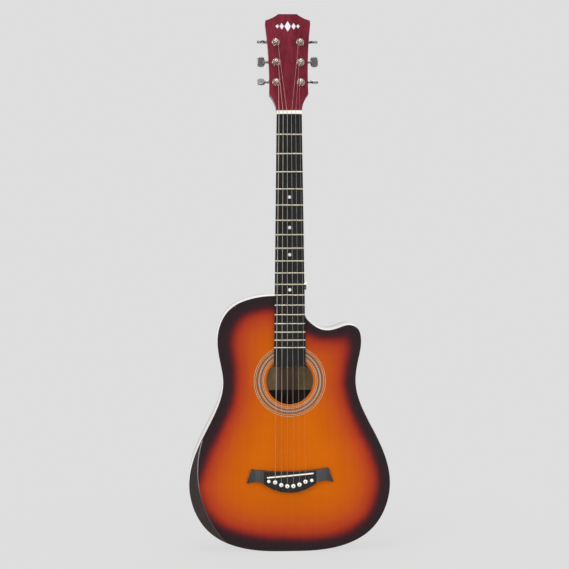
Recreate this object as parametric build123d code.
from build123d import *
import os
from math import asin, atan2, cos, degrees, hypot, pi, radians, sin, sqrt, tan

# Steel-string acoustic guitar with one rounded cutaway, as an assembly of separate pieces.
# Millimetres. +X is the treble side, -Y the front, +Z runs from the tail to the headstock.
# Depths are counted from the front face of the soundboard (y = 0, growing towards the back);
# the last lines move the whole instrument so that its box is centred on Y = 0.

os.makedirs("parts", exist_ok=True)

# ---- neck and scale ----
SCALE_LENGTH = 643.0
Z_NUT = 784.5
Z_JOINT = 461.5
NUT_THICK = 6.5
NUT_HALF = 22.25
BOARD_THICK = 5.5
BOARD_END_Z = 334.9
BOARD_END_HALF = 28.4
CAMBER_R = 400.0
FRET_COUNT = 18
FRET_HEIGHT = 1.0
DOT_FRETS = (5, 7, 9, 12)
NECK_DEPTH_NUT = 15.5
NECK_DEPTH_BODY = 18.0

# ---- body ----
TOP_THICK = 3.0
SIDE_THICK = 2.2
BACK_THICK = 2.8
DEPTH_TAIL = 86.0
DEPTH_NECK = 76.0
HOLE_Z = 308.5
HOLE_R = 42.3
LINING = 6.0
EDGE_ROUND = 1.2
BEVEL_X = 27.0
BEVEL_Z = 146.7
BEVEL_R = 192.6
BEVEL_SLOPE = 0.125

# ---- bridge ----
BRIDGE_Z = 129.5
BRIDGE_TURN = 0.6
BRIDGE_HIGH = 8.0
SADDLE_Z = 139.0
SADDLE_TURN = 4.75
SADDLE_PEAK = 11.2
SADDLE_THICK = 2.6
SADDLE_FOOT = 3.2
PIN_RADIUS = 2.6
PIN_HEAD_R = 3.8

# ---- headstock and tuners (x, u along the face, n out of the face) ----
TILT = 13.0
HEAD_THICK = 14.5
POST_X = 21.8
POST_U = (51.3, 88.2, 125.2)
POST_R = 3.0
STRING_HOLE_N = 9.2
GEAR_N = -20.0
WORM_OFFSET = 6.7
TEETH = 14
WHEEL_PITCH_R = 4.2
WORM_PITCH_R = 2.5
WORM_LEAD = 2 * pi * WHEEL_PITCH_R / TEETH
KNOB_START = 19.2
KNOB_WIDE = 14.0
KNOB_LONG = 19.0
KNOB_THICK = 4.8
KNOB_BORE = 1.4

# ---- strings: diameter, turns on the post, and angle of the knob at rest, low E first ----
STRING_DIA = (1.35, 1.07, 0.81, 0.61, 0.41, 0.30)
STRING_TURNS = (2.25, 2.75, 3.25, 3.25, 3.25, 3.25)
KNOB_ANGLE = (45.0, 0.0, 80.0, 106.0, 0.0, 112.0)
NUT_SPREAD = 36.8
SADDLE_SPREAD = 54.4
BALL_R = 1.9

pieces = {}


# =============================== helpers ===============================
def slab(sketch, y_front, y_back):
    """Front-view sketch (x, z) made solid between two depths."""
    return extrude(Plane.XZ.offset(-y_back) * sketch, amount=y_back - y_front)


def rod(start, end, radius):
    """Round bar between two points."""
    a = Vector(*start)
    b = Vector(*end)
    axis = b - a
    frame = Plane(origin=a, z_dir=axis)
    return extrude(frame * Circle(radius), amount=axis.length)


def y_rod(x, z, y_front, y_back, radius):
    return rod((x, y_front, z), (x, y_back, z), radius)


def box(x0, x1, y0, y1, z0, z1):
    return Pos((x0 + x1) / 2, (y0 + y1) / 2, (z0 + z1) / 2) * Box(x1 - x0, y1 - y0, z1 - z0)


def group(items):
    """Several separate solids kept in one piece."""
    solids = []
    for item in items:
        solids.extend(item.solids())
    return Compound(solids)


def fret_z(n):
    return Z_NUT - SCALE_LENGTH * (1 - 2 ** (-n / 12))


def board_half(z):
    """Half width of the fretboard at a height on the instrument."""
    share = (Z_NUT - z) / (Z_NUT - BOARD_END_Z)
    return NUT_HALF + share * (BOARD_END_HALF - NUT_HALF)


def back_y(z, inward=0.0):
    """Depth of the back's outer face, which tapers evenly from tail to neck."""
    return DEPTH_TAIL - (DEPTH_TAIL - DEPTH_NECK) * z / Z_JOINT - inward


def before_back(inward):
    """Everything between the soundboard and a plane parallel to the back."""
    profile = Polygon(
        (TOP_THICK, -20),
        (back_y(-20, inward), -20),
        (back_y(500, inward), 500),
        (TOP_THICK, 500),
        align=None,
    )
    return extrude(Plane.YZ.offset(-220) * profile, amount=440)


# =============================== body ===============================
bass_curve = Spline(
    (0, 0),
    (-82, 6),
    (-147, 38),
    (-180.8, 118),
    (-155, 210),
    (-119.3, 306),
    (-129.2, 384),
    (-106.5, 438),
    (-60, 458.4),
    (-30, Z_JOINT),
    tangents=((-1, 0), (1, 0)),
    tangent_scalars=(1, 1),
)
neck_edge = Line((-30, Z_JOINT), (27.4, Z_JOINT))
cheek_edge = Line((27.4, Z_JOINT), (27.4, 429.5))
treble_curve = Spline(
    (27.4, 429.5),
    (38, 413),
    (58.7, 400.4),
    (86, 402.6),
    (107, 408.4),
    (122, 402.4),
    (128.2, 386),
    (122.2, 340),
    (118.6, 306),
    (155, 210),
    (180.8, 118),
    (147, 38),
    (82, 6),
    (0, 0),
    tangents=((0, -1), (-1, 0)),
    tangent_scalars=(1, 1),
)
outline = make_face([bass_curve, neck_edge, cheek_edge, treble_curve])


def parallel(curve, inward, count):
    """Curve that stays a fixed distance inside one of the outline's curves."""
    points = []
    for k in range(count + 1):
        along = curve % (k / count)
        points.append(curve @ (k / count) + Vector(along.Y, -along.X, 0) * inward)
    return Spline(*points, tangents=(curve % 0, curve % 1), tangent_scalars=(1, 1))


def inset(inward):
    """Body outline moved inwards all round."""
    bass = parallel(bass_curve, inward, 24)
    treble = parallel(treble_curve, inward, 48)
    corner = (27.4 - inward, Z_JOINT - inward)
    return make_face([bass, Line(bass @ 1, corner), Line(corner, treble @ 0), treble])


inside = inset(SIDE_THICK)
lining_inside = inset(SIDE_THICK + LINING)

# soundboard with sound hole and inlaid rosette
soundboard = slab(outline, 0, TOP_THICK)
soundboard = fillet(soundboard.faces().sort_by(Axis.Y)[0].edges(), EDGE_ROUND)

# shallow conical bevel where the arm rests, a crescent on the bass side of the lower bout
bevel_reach = 2.0 / BEVEL_SLOPE
bevel_cone = Cone(BEVEL_R - bevel_reach / 2, BEVEL_R + 1.5 * bevel_reach, 4.0)
arm_bevel = box(-220, -60, -1, 2.6, -20, 240)
arm_bevel -= Pos(BEVEL_X, 1.0, BEVEL_Z) * Rot(-90, 0, 0) * bevel_cone
soundboard -= arm_bevel
soundboard -= y_rod(0, HOLE_Z, -1, TOP_THICK + 1, HOLE_R)
hole_rims = soundboard.edges().filter_by(GeomType.CIRCLE).group_by(SortBy.RADIUS)[-1]
soundboard = fillet(hole_rims.sort_by(Axis.Y)[0], 0.8)

ROSETTE = (
    (46.6, 47.4),
    (49.1, 49.9),
    (52.6, 53.4),
    (53.4, 56.6),
    (56.6, 57.4),
    (60.6, 61.4),
    (63.5, 64.3),
)
INLAY_DEPTH = 0.8
rings = []
for r_in, r_out in ROSETTE:
    ring = Circle(r_out) - Circle(r_in)
    rings.append(slab(Pos(0, HOLE_Z) * ring, 0, INLAY_DEPTH))
for ring in rings:
    soundboard -= ring
pieces["rosette_rings"] = group(rings)

# bent sides, split on the centre line, and the flat tapered back
shell_height = slab(outline - inside, TOP_THICK, DEPTH_TAIL + 2)
rim = shell_height & before_back(BACK_THICK)
ROD_Y = 7.5
rim -= rod((0, ROD_Y, Z_JOINT - 10), (0, ROD_Y, Z_JOINT + 10), 2.8)
pieces["bass_side"] = rim & box(-220, 0, 0, 100, -10, 500)
pieces["treble_side"] = rim & box(0, 220, 0, 100, -10, 500)
full_height = slab(outline, TOP_THICK, DEPTH_TAIL + 2)
back_plate = (full_height & before_back(0)) - before_back(BACK_THICK)
back_rim = back_plate.faces().sort_by(Axis.Y)[-1].edges()
back_plate = fillet(back_rim, EDGE_ROUND)
pieces["back_plate"] = back_plate

# blocks at both ends, linings along the joints
room = before_back(BACK_THICK)
neck_block = slab(inside & Pos(0, 440) * Rectangle(76, 44), TOP_THICK, DEPTH_TAIL) & room
neck_block -= box(-4.2, 4.2, 0, ROD_Y + 4.2, 400, 480)
tail_block = slab(inside & Pos(0, 8) * Rectangle(90, 20), TOP_THICK, DEPTH_TAIL) & room
neck_block = neck_block.solids().sort_by(SortBy.VOLUME)[-1]
pieces["end_blocks"] = group([neck_block, tail_block])

lining_ring = inside - lining_inside
front_lining = slab(lining_ring, TOP_THICK, TOP_THICK + 11)
back_lining = slab(lining_ring, 40, DEPTH_TAIL) & (room - before_back(BACK_THICK + 12))
blocks = Part() + [neck_block, tail_block]
linings = []
for strip in (front_lining, back_lining):
    for solid in (strip - blocks).solids():
        if solid.volume > 500:
            linings.append(solid)
pieces["linings"] = group(linings)


def brace(start, end, width, tall, y_base, direction):
    """Wooden bar glued on a plate; its ends are scalloped down to a thin tip."""
    run = Vector(end[0] - start[0], 0, end[1] - start[1])
    length = run.length
    side = Polygon(
        (0, 0),
        (length, 0),
        (length, 2.5),
        (length - 30, tall),
        (30, tall),
        (0, 2.5),
        align=None,
    )
    depth = Vector(0, direction, 0)
    across = run.normalized().cross(depth)
    frame = Plane(origin=(start[0], y_base, start[1]), x_dir=run.normalized(), z_dir=across)
    return extrude(frame * side, amount=width / 2, both=True)


X_BRACE_Z = 236.0
arm_angle = radians(49)
arm_down = (150 * sin(arm_angle), X_BRACE_Z - 150 * cos(arm_angle))
arm_up = (140 * sin(arm_angle), X_BRACE_Z + 140 * cos(arm_angle))
x_brace = brace((-arm_up[0], arm_up[1]), (arm_down[0], arm_down[1]), 8, 14, TOP_THICK, 1)
x_brace += brace((arm_up[0], arm_up[1]), (-arm_down[0], arm_down[1]), 8, 14, TOP_THICK, 1)
front_braces = [x_brace]
front_braces.append(brace((-108, 362), (110, 362), 12, 13, TOP_THICK, 1))
front_braces.append(brace((-70, 84), (60, 34), 6, 9, TOP_THICK, 1))
front_braces.append(brace((-118, 66), (-40, 36), 6, 9, TOP_THICK, 1))
rod_window = rod((0, ROD_Y, 340), (0, ROD_Y, 400), 4.6)
clear_room = slab(lining_inside, TOP_THICK, 60)
clear_room -= y_rod(0, HOLE_Z, 0, 70, HOLE_R + 3)
trimmed = []
for bar in front_braces:
    for solid in ((bar & clear_room) - rod_window).solids():
        if solid.volume > 200:
            trimmed.append(solid)
pieces["soundboard_braces"] = group(trimmed)

back_bars = []
for z_bar, tall in ((62, 12), (150, 12), (246, 14), (376, 14)):
    plank = box(-200, 200, back_y(z_bar, BACK_THICK + tall), DEPTH_TAIL, z_bar - 5, z_bar + 5)
    back_bars.append(plank & room & slab(lining_inside, 10, DEPTH_TAIL))
pieces["back_braces"] = group(back_bars)

# =============================== bridge ===============================
bridge_place = Pos(0, 0, BRIDGE_Z) * Rot(0, -BRIDGE_TURN, 0)


def bridge_sketch():
    """Winged outline: concave upper edge, straight wings, bulging lower edge."""
    upper = ThreePointArc((69.5, 21.5), (0, 16.7), (-69.5, 21.5))
    left = Line((-69.5, 21.5), (-78, -4.2))
    left_wing = ThreePointArc((-78, -4.2), (-63, -1.2), (-49, -3.4))
    belly = ThreePointArc((-49, -3.4), (0, -21.5), (49, -3.4))
    right_wing = ThreePointArc((49, -3.4), (63, -1.2), (78, -4.2))
    right = Line((78, -4.2), (69.5, 21.5))
    return make_face([upper, left, left_wing, belly, right_wing, right])


bridge = slab(bridge_sketch(), -BRIDGE_HIGH, 0)
WING_START = 47.0
WING_LOW = 4.6
for side in (-1, 1):
    scoop_profile = make_face(
        [
            Line((WING_START, -BRIDGE_HIGH - 1), (WING_START, -BRIDGE_HIGH + 1.2)),
            ThreePointArc(
                (WING_START, -BRIDGE_HIGH + 1.2),
                (WING_START + 13, -WING_LOW - 0.6),
                (WING_START + 34, -WING_LOW + 0.6),
            ),
            Line((WING_START + 34, -WING_LOW + 0.6), (WING_START + 34, -BRIDGE_HIGH - 1)),
            Line((WING_START + 34, -BRIDGE_HIGH - 1), (WING_START, -BRIDGE_HIGH - 1)),
        ]
    )
    scoop = extrude(Plane.XY.offset(-40) * scoop_profile, amount=80)
    bridge -= scoop if side > 0 else mirror(scoop, about=Plane.YZ)
front_rims = bridge.faces().sort_by(Axis.Y)[0].edges()
bridge = chamfer(front_rims, 0.6)
bridge = bridge_place * bridge

# six pin holes on an arc, with a notch for each string on the saddle side
pin_spots = []
for i in range(6):
    x_local = -SADDLE_SPREAD / 2 + SADDLE_SPREAD / 5 * i
    z_local = -9.8 + 0.0105 * x_local**2
    turn = radians(BRIDGE_TURN)
    pin_spots.append((x_local * cos(turn), BRIDGE_Z + z_local + x_local * sin(turn)))

NOTCH = 3.5
bridge_plate = slab(Pos(0, BRIDGE_Z) * Rectangle(124, 44), TOP_THICK, TOP_THICK + 3)
drill = []
for (x, z), dia in zip(pin_spots, STRING_DIA):
    drill.append(y_rod(x, z, -20, 20, PIN_RADIUS + 0.06))
    half = dia / 2 + 0.15
    drill.append(box(x - half, x + half, -20, 20, z, z + NOTCH + half))
for cut in drill:
    bridge -= cut
    soundboard -= cut
    bridge_plate -= cut

# bolts under the two dot caps
bolt_spots = []
for side in (-1, 1):
    x = side * 38.6 * cos(radians(BRIDGE_TURN))
    z = BRIDGE_Z + side * 38.6 * sin(radians(BRIDGE_TURN))
    bolt_spots.append((x, z))
caps = []
bolts = []
for x, z in bolt_spots:
    pocket = y_rod(x, z, -BRIDGE_HIGH - 1, -BRIDGE_HIGH + 1.5, 3.0)
    counterbore = y_rod(x, z, -BRIDGE_HIGH + 1.4, -BRIDGE_HIGH + 4.0, 3.0)
    shank_hole = y_rod(x, z, -BRIDGE_HIGH, 12, 1.55)
    bridge = bridge - pocket - counterbore - shank_hole
    soundboard -= shank_hole
    bridge_plate -= shank_hole
    caps.append(y_rod(x, z, -BRIDGE_HIGH, -BRIDGE_HIGH + 1.5, 3.0))
    bolt = y_rod(x, z, -BRIDGE_HIGH + 2.0, -BRIDGE_HIGH + 4.0, 2.8)
    bolt += y_rod(x, z, -BRIDGE_HIGH + 4.0, 11.5, 1.5)
    recess = slab(Pos(x, z) * RegularPolygon(1.2, 6), -BRIDGE_HIGH + 2.0, -BRIDGE_HIGH + 3.2)
    bolts.append(bolt - recess)
    washer = y_rod(x, z, TOP_THICK + 3.0, TOP_THICK + 3.8, 5.0)
    bolts.append(washer - y_rod(x, z, 0, 20, 1.55))
    nut_top = TOP_THICK + 3.8
    hex_nut = slab(Pos(x, z) * RegularPolygon(3.2, 6), nut_top, nut_top + 2.6)
    bolts.append(hex_nut - y_rod(x, z, 0, 20, 1.5))
pieces["bridge_bolt_caps"] = group(caps)
pieces["bridge_bolts"] = group(bolts)

# saddle: a leaning bar whose crest follows the fretboard camber
crest = Polygon(
    (-SADDLE_FOOT, -SADDLE_THICK / 2),
    (-SADDLE_PEAK + 1.1, -SADDLE_THICK / 2),
    (-SADDLE_PEAK, -SADDLE_THICK / 2 + 0.8),
    (-SADDLE_PEAK + 0.35, SADDLE_THICK / 2),
    (-SADDLE_FOOT, SADDLE_THICK / 2),
    align=None,
)
camber_axis = Axis((0, CAMBER_R - SADDLE_PEAK, 0), (0, 0, 1))
camber_centre = Pos(0, CAMBER_R - SADDLE_PEAK, 0)
half_arc = degrees(asin(43.0 / CAMBER_R))
saddle = revolve(Plane.YZ * crest, axis=camber_axis, revolution_arc=2 * half_arc)
saddle = camber_centre * Rot(0, 0, -half_arc) * camber_centre.inverse() * saddle
half_saddle = SADDLE_THICK / 2
saddle_slot = box(-42, 42, -SADDLE_PEAK - 1, -SADDLE_FOOT, -half_saddle, half_saddle)
saddle_foot = box(-42, 42, -SADDLE_FOOT - 5.0, -SADDLE_FOOT, -half_saddle, half_saddle)
saddle = (saddle + saddle_foot) & saddle_slot
saddle_place = Pos(0, 0, SADDLE_Z) * Rot(0, -SADDLE_TURN, 0)
saddle = saddle_place * saddle
bridge -= saddle_place * saddle_slot
pieces["saddle"] = saddle
pieces["bridge"] = bridge
pieces["bridge_plate"] = bridge_plate

# bridge pins: domed head with a centre dot recess, tapered and grooved shank
for i, (x, z) in enumerate(pin_spots):
    half_section = make_face(
        [
            Line((0, -25), (1.6, -25)),
            Line((1.6, -25), (2.1, -24)),
            Line((2.1, -24), (PIN_RADIUS, -6)),
            Line((PIN_RADIUS, -6), (PIN_RADIUS, 0.1)),
            Line((PIN_RADIUS, 0.1), (PIN_HEAD_R - 0.4, 0.1)),
            ThreePointArc((PIN_HEAD_R - 0.4, 0.1), (PIN_HEAD_R, 0.7), (PIN_HEAD_R - 0.3, 1.5)),
            ThreePointArc((PIN_HEAD_R - 0.3, 1.5), (2.3, 2.8), (1.0, 3.2)),
            Line((1.0, 3.2), (1.0, 2.9)),
            Line((1.0, 2.9), (0, 2.9)),
            Line((0, 2.9), (0, -25)),
        ]
    )
    pin = revolve(Plane.XZ * half_section, axis=Axis.Z, revolution_arc=360)
    pin = Rot(90, 0, 0) * pin
    pin -= box(-0.7, 0.7, 2.0, 30, 1.5, 4)
    relief = STRING_DIA[i] / 2 + 0.2
    pin -= box(-relief, relief, -0.2 - 1.6, 2.1, 2.4, 5)
    pieces[f"bridge_pin_{i + 1}"] = Pos(x, -BRIDGE_HIGH, z) * pin

# =============================== fretboard ===============================
blank = Polygon(
    (-BOARD_END_HALF, BOARD_END_Z),
    (BOARD_END_HALF, BOARD_END_Z),
    (NUT_HALF, Z_NUT),
    (-NUT_HALF, Z_NUT),
    align=None,
)
camber = Pos(0, CAMBER_R - BOARD_THICK, 560) * Cylinder(CAMBER_R, 600)
fretboard = slab(blank, -BOARD_THICK, 0) & camber

dot_tools = []
for n in DOT_FRETS:
    z_dot = (fret_z(n) + fret_z(n - 1)) / 2
    dot_tools.append(y_rod(0, z_dot, -BOARD_THICK - 1, -BOARD_THICK + 1.5, 3.0))
pieces["fret_dots"] = group([fretboard & tool for tool in dot_tools])
for tool in dot_tools:
    fretboard -= tool

fret_axis = Axis((0, CAMBER_R - BOARD_THICK, 0), (0, 0, 1))
frets = []
for n in range(1, FRET_COUNT + 1):
    z = fret_z(n)
    top = -BOARD_THICK
    crown = make_face(
        [
            ThreePointArc((top, z - 1.15), (top - FRET_HEIGHT, z), (top, z + 1.15)),
            Line((top, z + 1.15), (top, z + 0.3)),
            Line((top, z + 0.3), (top + 1.8, z + 0.3)),
            Line((top + 1.8, z + 0.3), (top + 1.8, z - 0.3)),
            Line((top + 1.8, z - 0.3), (top, z - 0.3)),
            Line((top, z - 0.3), (top, z - 1.15)),
        ]
    )
    tang = Pos(top + 0.9 - 1, z) * Rectangle(3.8, 0.6)
    sweep_angle = 2 * degrees(asin((board_half(z) - 0.05) / CAMBER_R))
    wire = revolve(Plane.YZ * crown, axis=fret_axis, revolution_arc=sweep_angle)
    slot = revolve(Plane.YZ * tang, axis=fret_axis, revolution_arc=sweep_angle + 0.3)
    middle = Pos(0, fret_axis.position.Y, 0)
    frets.append(middle * Rot(0, 0, -sweep_angle / 2) * middle.inverse() * wire)
    fretboard -= middle * Rot(0, 0, -sweep_angle / 2 - 0.15) * middle.inverse() * slot
pieces["frets"] = group(frets)
pieces["fretboard"] = fretboard

# =============================== neck ===============================
tilt = radians(TILT)
Z_HEAD = Z_NUT + NUT_THICK
HEAD = Plane(origin=(0, 0, Z_HEAD), x_dir=(1, 0, 0), z_dir=(0, -cos(tilt), sin(tilt)))


def neck_section(z, half, y_top, depth):
    """D-shaped section: flat top, elliptical back."""
    arc = Spline(
        (-half, y_top),
        (-half * cos(radians(35)), y_top + depth * sin(radians(35)) ** 0.85),
        (0, y_top + depth),
        (half * cos(radians(35)), y_top + depth * sin(radians(35)) ** 0.85),
        (half, y_top),
        tangents=((0, 1), (0, -1)),
        tangent_scalars=(1, 1),
    )
    flat = Line((half, y_top), (-half, y_top))
    plane = Plane(origin=(0, 0, z), x_dir=(1, 0, 0), z_dir=(0, 0, 1))
    return plane * make_face([arc, flat])


shaft = loft(
    [
        neck_section(Z_JOINT, board_half(Z_JOINT), 0, NECK_DEPTH_BODY),
        neck_section(Z_HEAD, NUT_HALF, 0, NECK_DEPTH_NUT),
    ]
)
throat = loft(
    [
        neck_section(Z_HEAD, NUT_HALF, 0, NECK_DEPTH_NUT),
        neck_section(Z_HEAD + 16, NUT_HALF - 3, 4.6, NECK_DEPTH_NUT - 2.0),
    ]
)


def heel_section(y, half, reach):
    """Tongue that grows out of the body joint, seen from the front."""
    edge = Spline(
        (half, Z_JOINT),
        (half * 0.80, Z_JOINT + reach * 0.72),
        (0, Z_JOINT + reach),
        (-half * 0.80, Z_JOINT + reach * 0.72),
        (-half, Z_JOINT),
        tangents=((0, 1), (0, -1)),
        tangent_scalars=(1, 1),
    )
    closing = Line((-half, Z_JOINT), (half, Z_JOINT))
    return Plane.XZ.offset(-y) * make_face([edge, closing])


heel = loft(
    [
        heel_section(12, 24.5, 78),
        heel_section(20, 21.5, 48),
        heel_section(36, 18.0, 29),
        heel_section(56, 15.5, 20),
        heel_section(72, 14.0, 17),
    ]
)

head_right = [
    ThreePointArc((22.8, 0), (27.0, 17.0), (34.8, 30.0)),
    ThreePointArc((34.8, 30.0), (34.6, 76), (38.0, 136)),
    Line((38.0, 136), (40.6, 160)),
    Line((40.6, 160), (39.8, 166)),
    ThreePointArc((39.8, 166), (27.4, 170.8), (16.6, 177.8)),
]
head_left = [mirror(edge, about=Plane.YZ) for edge in head_right]
head_face = make_face(
    head_right + head_left + [Line((16.6, 177.8), (-16.6, 177.8)), Line((-22.8, 0), (22.8, 0))]
)
headstock = extrude(HEAD * head_face, amount=-HEAD_THICK)
neck = shaft + throat + heel + headstock

# truss rod channel, its rod and shoe
CHANNEL_HALF = 3.3
rod_end_low = 410.0
rod_end_high = 760.0
neck -= box(-CHANNEL_HALF, CHANNEL_HALF, -1, ROD_Y + 3.3, Z_JOINT - 1, rod_end_high)
channel = box(-CHANNEL_HALF, CHANNEL_HALF, 0.2, ROD_Y + 3.3, Z_JOINT, rod_end_high)
channel -= box(-2.6, 2.6, -1, ROD_Y + 2.6, Z_JOINT - 1, rod_end_high - 6)
steel_rod = rod((0, ROD_Y, rod_end_low), (0, ROD_Y, rod_end_high - 6), 2.5)
pieces["truss_rod"] = group([channel, steel_rod])
rod_nut = rod((0, ROD_Y, rod_end_low - 8), (0, ROD_Y, rod_end_low + 6), 4.0)
rod_nut -= rod((0, ROD_Y, rod_end_low), (0, ROD_Y, rod_end_low + 7), 2.55)
socket_plane = Plane(origin=(0, ROD_Y, rod_end_low - 8), x_dir=(1, 0, 0), z_dir=(0, 0, 1))
rod_nut -= extrude(socket_plane * RegularPolygon(2.6, 6), amount=6)
pieces["truss_rod_nut"] = rod_nut

# =============================== nut ===============================
def string_x(i, spread):
    return -spread / 2 + spread / 5 * i


nut_peak = BOARD_THICK + FRET_HEIGHT + 1.1
nut_camber = Pos(0, CAMBER_R - nut_peak, Z_NUT + NUT_THICK / 2) * Cylinder(CAMBER_R, NUT_THICK)
nut = box(-NUT_HALF, NUT_HALF, -12, 0, Z_NUT, Z_HEAD) & nut_camber
nut -= Pos(0, -nut_peak - 0.6, Z_HEAD) * Rot(18, 0, 0) * Box(60, 4, 7)

# =============================== strings ===============================
def head_point(x, u, n):
    return HEAD.from_local_coords(Vector(x, u, n))


def string_plan(i):
    """Corner points of one string and where it meets its post."""
    radius = STRING_DIA[i] / 2
    side = -1 if i < 3 else 1
    post = (side * POST_X, POST_U[i] if i < 3 else POST_U[5 - i])
    x_pin, z_pin = pin_spots[i]
    x_saddle = string_x(i, SADDLE_SPREAD)
    peak_local = -SADDLE_THICK / 2 + 0.8
    turn = radians(SADDLE_TURN)
    z_saddle = SADDLE_Z + x_saddle * tan(turn) + peak_local / cos(turn)
    y_saddle = -SADDLE_PEAK + x_saddle**2 / (2 * CAMBER_R) - radius - 0.09
    x_nut = string_x(i, NUT_SPREAD)
    y_nut = -(BOARD_THICK + FRET_HEIGHT + 0.45) + x_nut**2 / (2 * CAMBER_R) - radius
    at_nut = HEAD.to_local_coords(Vector(x_nut, y_nut, Z_NUT))
    wrap_r = POST_R - 0.4 + radius + 0.03
    dx = post[0] - at_nut.X
    du = post[1] - at_nut.Y
    reach = hypot(dx, du)
    heading = atan2(du, dx) + side * asin(wrap_r / reach)
    run = sqrt(reach**2 - wrap_r**2)
    touch = (at_nut.X + run * cos(heading), at_nut.Y + run * sin(heading))
    start = degrees(atan2(touch[1] - post[1], touch[0] - post[0]))
    pitch = STRING_DIA[i] * 1.06
    rise = pitch * STRING_TURNS[i]
    low_n = STRING_HOLE_N - rise
    return {
        "radius": radius,
        "side": side,
        "post": post,
        "ball": (x_pin, TOP_THICK + 3.0 + BALL_R, z_pin + NOTCH),
        "bridge": (x_pin, -BRIDGE_HIGH - radius - 0.1, z_pin + NOTCH),
        "saddle": (x_saddle, y_saddle, z_saddle),
        "nut": (x_nut, y_nut, Z_NUT),
        "touch": head_point(touch[0], touch[1], low_n),
        "start": start,
        "wrap_r": wrap_r,
        "pitch": pitch,
        "rise": rise,
        "low_n": low_n,
    }


def make_string(plan):
    radius = plan["radius"]
    corners = [plan["ball"], plan["bridge"], plan["saddle"], plan["nut"], plan["touch"]]
    course = FilletPolyline(*corners, radius=1.2)
    coil = Helix(plan["pitch"], plan["rise"], plan["wrap_r"], lefthand=plan["side"] > 0)
    spot = HEAD.location * Pos(plan["post"][0], plan["post"][1], plan["low_n"])
    coil = spot * Rot(0, 0, plan["start"]) * coil
    path = Wire(list(course.edges()) + list(coil.edges()))
    section = Plane(origin=path @ 0, z_dir=path % 0) * Circle(radius)
    body = sweep(section, path=path)
    end = coil @ 1
    axis = head_point(plan["post"][0], plan["post"][1], STRING_HOLE_N)
    inward = (axis - end).normalized()
    body += rod(tuple(end), tuple(axis + inward * (POST_R + 2.5)), radius * 0.92)
    x, y, z = plan["ball"]
    ball = rod((x - 1.6, y, z + 0.6), (x + 1.6, y, z + 0.6), BALL_R)
    return body + ball


plans = [string_plan(i) for i in range(6)]
strings = [make_string(plan) for plan in plans]
pieces["wound_strings"] = group(strings[:4])
pieces["plain_strings"] = group(strings[4:])

for plan in plans:
    radius = plan["radius"] + 0.03
    start = Vector(*plan["nut"])
    toward = (plan["touch"] - start).normalized()
    begin = start - toward * 1.0
    nut -= rod(tuple(begin), tuple(begin + toward * 12), radius)
    open_slot = Plane(origin=begin, x_dir=(1, 0, 0), z_dir=toward) * Pos(0, -3)
    nut -= extrude(open_slot * Rectangle(2 * radius, 6), amount=12)
pieces["nut"] = nut

# =============================== tuners ===============================
def worm_gear_profile():
    """Tooth outline of the worm wheel, one tooth gap centred on +Y."""
    points = []
    root = 3.55
    tip = 4.65
    step = 2 * pi / TEETH
    for k in range(TEETH):
        middle = pi / 2 + step * (k + 0.5)
        wide_root = 0.50 / root
        wide_tip = 0.26 / tip
        points.append((root * cos(middle - wide_root), root * sin(middle - wide_root)))
        points.append((tip * cos(middle - wide_tip), tip * sin(middle - wide_tip)))
        points.append((tip * cos(middle + wide_tip), tip * sin(middle + wide_tip)))
        points.append((root * cos(middle + wide_root), root * sin(middle + wide_root)))
    return Polygon(*points, align=None)


WHEEL_WIDE = 3.2
lead_slope = WORM_LEAD / (2 * pi * WORM_PITCH_R)
wheel_twist = -degrees(lead_slope * WHEEL_WIDE / WHEEL_PITCH_R)
wheel = Solid.extrude_linear_with_rotation(
    worm_gear_profile().face(), (0, 0, 0), (0, 0, WHEEL_WIDE), wheel_twist
)
wheel = Pos(0, 0, -WHEEL_WIDE / 2) * Rot(0, 0, -wheel_twist / 2) * wheel
SQUARE = 3.4
wheel = Part() + wheel - Box(SQUARE, SQUARE, 10)


def worm():
    """Left-handed single-start worm on its shaft; the shaft lies along +X."""
    turns = 3.5
    length = turns * WORM_LEAD
    root = 1.85
    thread_path = Helix(WORM_LEAD, length, root, lefthand=True)
    flank = ((-0.35, 0.56), (0.0, 0.52), (1.05, 0.17))
    tooth = Polygon(*[(x, -y) for x, y in flank], *reversed(flank), align=None)
    section = Plane(origin=(root, 0, 0), x_dir=(1, 0, 0), z_dir=(0, 1, 0)) * tooth
    thread = sweep(section, path=thread_path, is_frenet=True)
    core = Cylinder(root, length + 2.4)
    body = Pos(0, 0, -length / 2) * thread + core
    middle_angle = -turns * 180
    body = Rot(0, 0, -middle_angle) * body
    body += Pos(0, 0, -length / 2 - 1.2 - 1.0) * Cylinder(1.5, 2.0)
    shaft_start = length / 2 + 1.2
    shaft_end = KNOB_START - 1.6
    body += Pos(0, 0, (shaft_start + shaft_end) / 2) * Cylinder(2.0, shaft_end - shaft_start)
    body += Pos(0, 0, shaft_end + 4.8) * Cylinder(KNOB_BORE, 9.6)
    # lay the shaft along +X with the thread's middle facing -Y
    return Rot(0, 90, 0) * Rot(0, 0, -90) * body


worm_shape = worm()


def knob_shape(angle):
    """Oval button on a short neck, bored for the shaft, along +X."""
    button = RectangleRounded(KNOB_WIDE, KNOB_LONG, 5.4)
    button = extrude(button, amount=KNOB_THICK / 2, both=True)
    faces = button.faces().filter_by(Axis.Z)
    button = fillet([e for f in faces for e in f.edges()], 1.9)
    button = Pos(KNOB_START + KNOB_WIDE / 2, 0, 0) * button
    collar = Rot(0, 90, 0) * Cylinder(2.8, 3.2)
    button += Pos(KNOB_START, 0, 0) * collar
    bore = Rot(0, 90, 0) * Cylinder(KNOB_BORE, 14.0)
    button -= Pos(KNOB_START + 1.0, 0, 0) * bore
    return Rot(angle, 0, 0) * button


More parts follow.
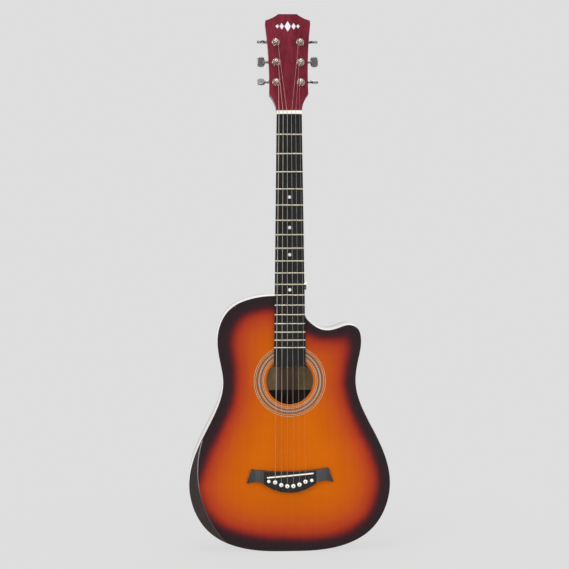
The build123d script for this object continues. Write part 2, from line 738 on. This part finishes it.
housings = []
covers = []
bushings = []
washers = []
screws = []
neck_cuts = []
for i in range(6):
    plan = plans[i]
    side = plan["side"]
    x_post, u_post = plan["post"]
    seat = HEAD.location * Pos(x_post, u_post, 0)
    back = -HEAD_THICK
    gear_spot = seat * Pos(0, 0, GEAR_N)
    key_spot = seat * Pos(0, WORM_OFFSET, GEAR_N)
    facing = Rot(0, 90 - side * 90, 0)

    # die-cast housing, open at the back, closed by a cover
    case_plan = Pos(side * 1.25, 2.25) * RectangleRounded(19.5, 18.5, 3.5)
    case = extrude(Plane.XY.offset(-24.5) * case_plan, amount=24.5 + back)
    ear = Pos(side * 1.0, -9.2) * Circle(3.2)
    case += extrude(Plane.XY.offset(back - 2.2) * ear, amount=2.2)
    boss = Pos(side * 13.6, WORM_OFFSET, GEAR_N) * Rot(0, 90, 0) * Cylinder(3.2, 5.6)
    case += boss
    case -= Pos(0, 0, -21.5) * Cylinder(5.1, 9.6)
    case -= Pos(side * 0.6, WORM_OFFSET, GEAR_N) * Rot(0, 90, 0) * Cylinder(3.3, 10.4)
    case -= Pos(side * 0.6, WORM_OFFSET, GEAR_N - 3) * Box(10.4, 6.6, 6)
    case -= Pos(side * 12, WORM_OFFSET, GEAR_N) * Rot(0, 90, 0) * Cylinder(2.05, 16)
    case -= Pos(side * -5.5, WORM_OFFSET, GEAR_N) * Rot(0, 90, 0) * Cylinder(1.55, 4.0)
    case -= Pos(0, 0, -15.5) * Cylinder(POST_R + 0.05, 4)
    case -= Pos(side * 1.0, -9.2, back) * Cylinder(1.15, 8)
    housings.append(seat * case)
    cover = extrude(Plane.XY.offset(-25.6) * case_plan, amount=1.1)
    cover = fillet(cover.faces().sort_by(Axis.Z)[0].edges(), 0.8)
    covers.append(seat * cover)

    # hex bushing through the headstock and the washer under it
    hexagon = Pos(0, 0, 1.0) * extrude(RegularPolygon(5.6, 6, major_radius=False), amount=3.0)
    barrel = Pos(0, 0, (1.0 - 13.5) / 2) * Cylinder(4.4, 14.5)
    bushings.append(seat * (hexagon + barrel - Cylinder(POST_R + 0.05, 60)))
    ring = Pos(0, 0, 0.5) * Cylinder(7.0, 1.0)
    ring = fillet(ring.edges().sort_by(Axis.Z)[-1], 0.5)
    washers.append(seat * (ring - Cylinder(4.45, 10)))
    neck_cuts.append(seat * Cylinder(4.45, 60))

    # fixing screw in the ear
    screw = Pos(side * 1.0, -9.2, back - 2.2 - 0.7) * Cylinder(2.1, 1.4)
    screw += Pos(side * 1.0, -9.2, back - 2.2 + 4.0) * Cylinder(1.1, 8.0)
    screw -= Pos(side * 1.0, -9.2, back - 3.4) * (Box(2.4, 0.5, 1.0) + Box(0.5, 2.4, 1.0))
    screws.append(seat * screw)
    neck_cuts.append(seat * Pos(side * 1.0, -9.2, back + 3) * Cylinder(1.1, 6.2))

    # string post with waist, cross hole and square foot, and its gear screw
    wheel_top = GEAR_N + WHEEL_WIDE / 2
    profile = make_face(
        [
            Line((0, wheel_top), (POST_R, wheel_top)),
            Line((POST_R, wheel_top), (POST_R, 4.4)),
            Line((POST_R, 4.4), (POST_R - 0.4, 4.9)),
            Line((POST_R - 0.4, 4.9), (POST_R - 0.4, 10.4)),
            Line((POST_R - 0.4, 10.4), (POST_R, 10.9)),
            Line((POST_R, 10.9), (POST_R, 11.8)),
            ThreePointArc((POST_R, 11.8), (2.2, 12.6), (1.0, 12.9)),
            Line((1.0, 12.9), (0, 12.9)),
            Line((0, 12.9), (0, wheel_top)),
        ]
    )
    post = revolve(Plane.XZ * profile, axis=Axis.Z, revolution_arc=360)
    foot_length = WHEEL_WIDE - 0.06
    post += Pos(0, 0, wheel_top - foot_length / 2) * Box(SQUARE - 0.06, SQUARE - 0.06, foot_length)
    turned = plan["start"] - side * 360 * STRING_TURNS[i]
    hole = Rot(0, 0, turned) * Rot(0, 90, 0) * Cylinder(plan["radius"] + 0.12, 20)
    post -= Pos(0, 0, STRING_HOLE_N) * hole
    wheel_back = GEAR_N - WHEEL_WIDE / 2
    gear_screw = Pos(0, 0, wheel_back - 0.6) * Cylinder(2.3, 1.2)
    gear_screw += Pos(0, 0, wheel_back + 2.5) * Cylinder(0.95, 5.0)
    post -= Pos(0, 0, wheel_back + 2.5) * Cylinder(0.95, 5.2)
    pieces[f"string_post_{i + 1}"] = group([seat * post, seat * gear_screw])

    pieces[f"worm_wheel_{i + 1}"] = gear_spot * wheel
    pieces[f"worm_shaft_{i + 1}"] = key_spot * facing * worm_shape
    pieces[f"tuner_knob_{i + 1}"] = key_spot * facing * knob_shape(KNOB_ANGLE[i])

for cut in neck_cuts:
    neck -= cut
pieces["tuner_housings"] = group(housings)
pieces["tuner_covers"] = group(covers)
pieces["tuner_bushings"] = group(bushings)
pieces["tuner_washers"] = group(washers)
pieces["tuner_screws"] = group(screws)

# plain lozenges inlaid near the top of the headstock
INLAY_U = 155.0
lozenges = []
INLAYS = ((-18.5, 3.2, 3.6), (-10.6, 3.9, 6.2), (0, 5.8, 9.8), (10.6, 3.9, 6.2), (18.5, 3.2, 3.6))
for x, half_wide, half_tall in INLAYS:
    lozenge = Polygon(
        (x - half_wide, INLAY_U),
        (x, INLAY_U - half_tall),
        (x + half_wide, INLAY_U),
        (x, INLAY_U + half_tall),
        align=None,
    )
    lozenges.append(extrude(HEAD * lozenge, amount=-0.8))
for lozenge in lozenges:
    neck -= lozenge
pieces["headstock_inlay"] = group(lozenges)

# strap button screwed to the treble side of the heel
BUTTON_Y = 29.0
BUTTON_Z = 477.0
SEAT_X = 17.0
seat_cut = rod((SEAT_X, BUTTON_Y, BUTTON_Z), (40, BUTTON_Y, BUTTON_Z), 5.6)
neck -= seat_cut
button_profile = make_face(
    [
        Line((2.0, 0), (5.2, 0)),
        Line((5.2, 0), (5.2, 1.6)),
        Line((5.2, 1.6), (3.9, 3.4)),
        Line((3.9, 3.4), (3.9, 8.4)),
        Line((3.9, 8.4), (6.2, 10.6)),
        Line((6.2, 10.6), (7.0, 11.2)),
        Line((7.0, 11.2), (7.0, 14.4)),
        Line((7.0, 14.4), (6.4, 15.0)),
        Line((6.4, 15.0), (3.4, 15.0)),
        Line((3.4, 15.0), (2.0, 13.4)),
        Line((2.0, 13.4), (2.0, 0)),
    ]
)
button = revolve(Plane.XZ * button_profile, axis=Axis.Z, revolution_arc=360)
screw_profile = make_face(
    [
        Line((0, -16), (0.6, -15)),
        Line((0.6, -15), (1.9, -12)),
        Line((1.9, -12), (1.9, 13.3)),
        Line((1.9, 13.3), (3.2, 14.8)),
        Line((3.2, 14.8), (0, 15.2)),
        Line((0, 15.2), (0, -16)),
    ]
)
button_screw = revolve(Plane.XZ * screw_profile, axis=Axis.Z, revolution_arc=360)
button_screw -= Pos(0, 0, 15.0) * (Box(4.0, 0.8, 2.0) + Box(0.8, 4.0, 2.0))
button_place = Pos(SEAT_X, BUTTON_Y, BUTTON_Z) * Rot(0, 90, 0)
pieces["strap_button"] = group([button_place * button, button_place * button_screw])
neck -= button_place * (Pos(0, 0, -8) * Cylinder(1.9, 16.0))
pieces["neck"] = neck
pieces["soundboard"] = soundboard

# =============================== centre and write ===============================
whole = Compound([solid for piece in pieces.values() for solid in piece.solids()])
bounds = whole.bounding_box()
y_middle = (bounds.min.Y + bounds.max.Y) / 2
for name, piece in pieces.items():
    export_step(Pos(0, -y_middle, 0) * piece, f"parts/{name}.step")
print("moved by", -y_middle, "pieces", len(pieces))
